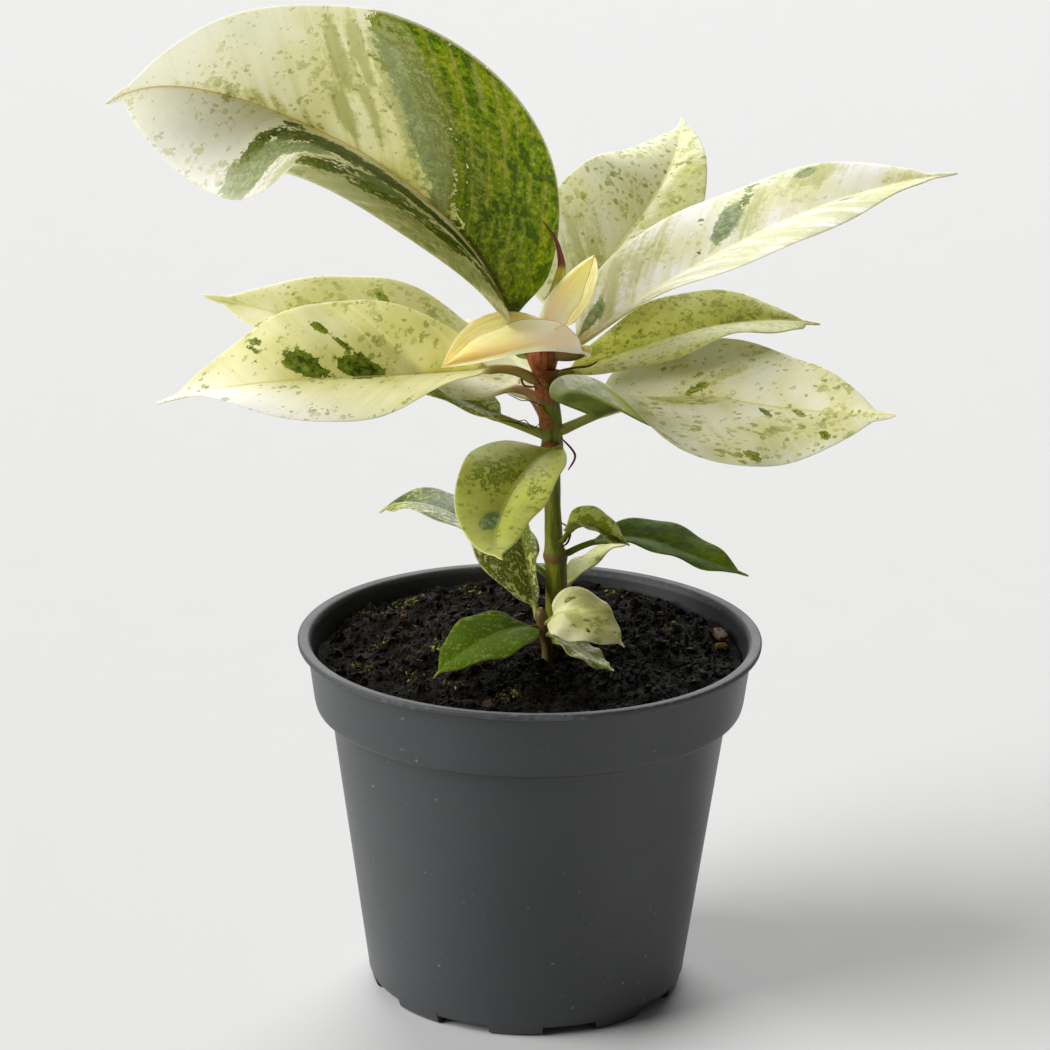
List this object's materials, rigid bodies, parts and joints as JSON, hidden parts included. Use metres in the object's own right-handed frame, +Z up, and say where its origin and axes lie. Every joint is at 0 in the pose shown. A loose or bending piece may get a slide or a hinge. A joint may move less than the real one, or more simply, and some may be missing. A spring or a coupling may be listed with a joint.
{
  "type": "potted variegated rubber fig",
  "caption": "Young rubber fig with broad cream and green leaves on a short stem with a side shoot, standing in soil in a round dark grey nursery pot.",
  "frame": {"origin": "centre of the pot's underside, on the surface that the pot stands on", "axes": "+Z up along the pot's axis, +Y away from the picture's camera, +X to its right"},
  "size_m": [0.2133, 0.1575, 0.2596],
  "materials": {
    "pot_plastic": "moulded, satin, slightly worn",
    "soil": "coarse damp peat",
    "stem_green": "smooth green bark",
    "shoot_brown": "thin brown bark",
    "leaf_cream": "waxy, cream with green patches",
    "leaf_mint": "waxy, pale green with flecks",
    "leaf_green": "waxy, mottled green",
    "leaf_dark": "waxy, dark green",
    "bud_scale": "papery, yellow and cream",
    "bud": "waxy, red-brown"
  },
  "bodies": {
    "root": {"pot": "pot_plastic", "soil": "soil", "main_stem": "stem_green", "side_shoot": "shoot_brown", "leaf_top_left": "leaf_mint", "leaf_top_back": "leaf_cream", "leaf_top_right": "leaf_cream", "leaf_right_back": "leaf_green", "leaf_right_front": "leaf_cream", "leaf_left_front": "leaf_cream", "leaf_left_back": "leaf_mint", "leaf_left_low": "leaf_green", "leaf_back_low": "leaf_mint", "leaf_middle_front": "leaf_green", "leaf_small_left": "leaf_dark", "leaf_small_right": "leaf_dark", "leaf_small_folded": "leaf_dark", "leaf_small_back": "leaf_mint", "leaf_shoot_back": "leaf_green", "leaf_shoot_right": "leaf_cream", "leaf_shoot_low": "leaf_green", "leaf_shoot_left": "leaf_green", "bud_scale_left": "bud_scale", "bud_scale_right": "bud_scale", "bud": "bud"}
  },
  "joints": []
}
